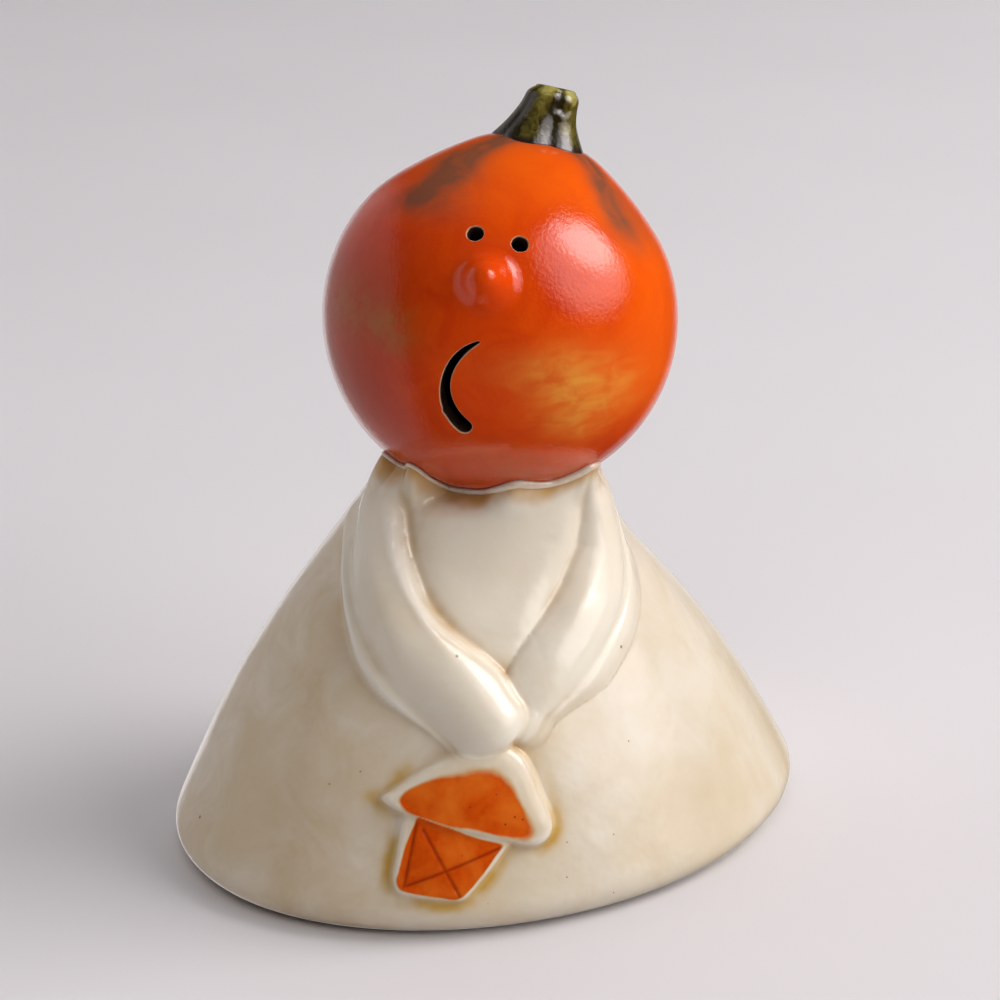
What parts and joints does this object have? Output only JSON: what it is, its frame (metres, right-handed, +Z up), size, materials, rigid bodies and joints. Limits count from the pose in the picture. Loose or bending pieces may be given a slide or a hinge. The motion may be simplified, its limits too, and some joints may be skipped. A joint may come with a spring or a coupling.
{
  "type": "ceramic pumpkin figure",
  "caption": "Glazed ceramic figure: a hollow pumpkin head with a pierced face on a hollow bell-shaped dress, with arms in relief holding a small lantern.",
  "frame": {"origin": "centre of the hem oval on the surface that the figure stands on", "axes": "+Z up; the face and the lantern look towards -Y; +X is the figure's left"},
  "size_m": [0.13, 0.1172, 0.1542],
  "materials": {
    "cream_glaze": "glossy cream glaze that pools honey brown in the hollows",
    "slip_bead": "glossy cream bead with brown glaze pooled beneath it",
    "orange_glaze": "glossy vermilion glaze, mottled, with smoky streaks at the crown",
    "green_glaze": "very glossy olive glaze that breaks yellow on the ridges",
    "lantern_glaze": "glossy orange glaze, thinner at the edges"
  },
  "bodies": {
    "root": {"dress_shell": "cream_glaze", "neck_collar": "slip_bead", "head_shell": "orange_glaze", "stem": "green_glaze", "nose": "orange_glaze", "right_arm": "cream_glaze", "left_arm": "cream_glaze", "right_sleeve": "cream_glaze", "left_sleeve": "cream_glaze", "lantern_roof": "cream_glaze", "lantern_case": "cream_glaze", "roof_panel": "lantern_glaze", "window_panel": "lantern_glaze"}
  },
  "joints": []
}
